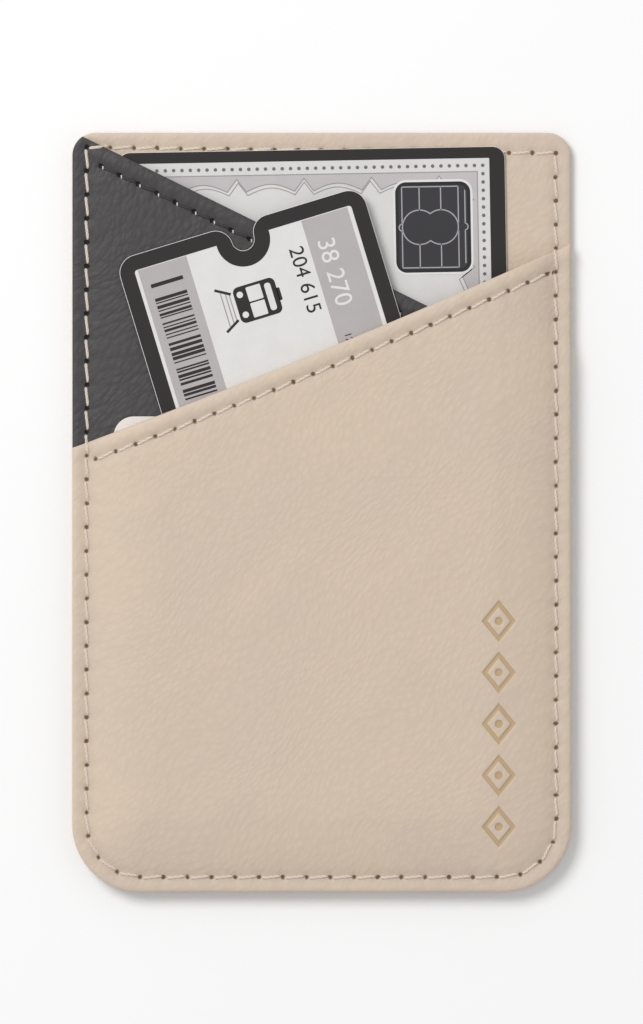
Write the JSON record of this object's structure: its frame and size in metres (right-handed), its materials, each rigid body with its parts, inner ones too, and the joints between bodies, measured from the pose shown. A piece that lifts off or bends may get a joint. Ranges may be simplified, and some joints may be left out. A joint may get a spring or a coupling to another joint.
{
  "type": "phone card holder",
  "caption": "Flat sewn leatherette pocket that sticks to the back of a phone, with two sloping overlapping card slots, shown holding a bank card, a travel ticket and a stiffening card.",
  "frame": {"origin": "middle of the pocket's outline, on the outer face of the release liner at the back", "axes": "+X to the right and +Y to the pocket's top as seen from the front, +Z out of the front"},
  "size_m": [0.065, 0.099, 0.0047],
  "materials": {
    "beige_leatherette": "fine grained beige leatherette with turned, sewn edges",
    "charcoal_leatherette": "fine grained dark grey leatherette",
    "cream_thread": "twisted polyester sewing thread, cream",
    "grey_thread": "twisted polyester sewing thread, dark grey",
    "bank_card_print": "printed card, light field with a dark border, grey band and dark chip",
    "ticket_print": "printed ticket, white field with a dark border, grey bands and bars",
    "stiffener_board": "plain white board",
    "liner_paper": "smooth waxed release paper",
    "adhesive": "translucent foam adhesive sheet"
  },
  "bodies": {
    "root": {"release_liner": "liner_paper", "adhesive_pad": "adhesive", "back_panel": "beige_leatherette", "bank_card": "bank_card_print", "inner_pocket_panel": "charcoal_leatherette", "stiffening_card": "stiffener_board", "paper_ticket": "ticket_print", "front_pocket_panel": "beige_leatherette", "edge_seam_thread": "cream_thread", "edge_seam_bobbin_thread": "cream_thread", "inner_mouth_thread": "grey_thread", "front_mouth_thread": "cream_thread"}
  },
  "joints": []
}
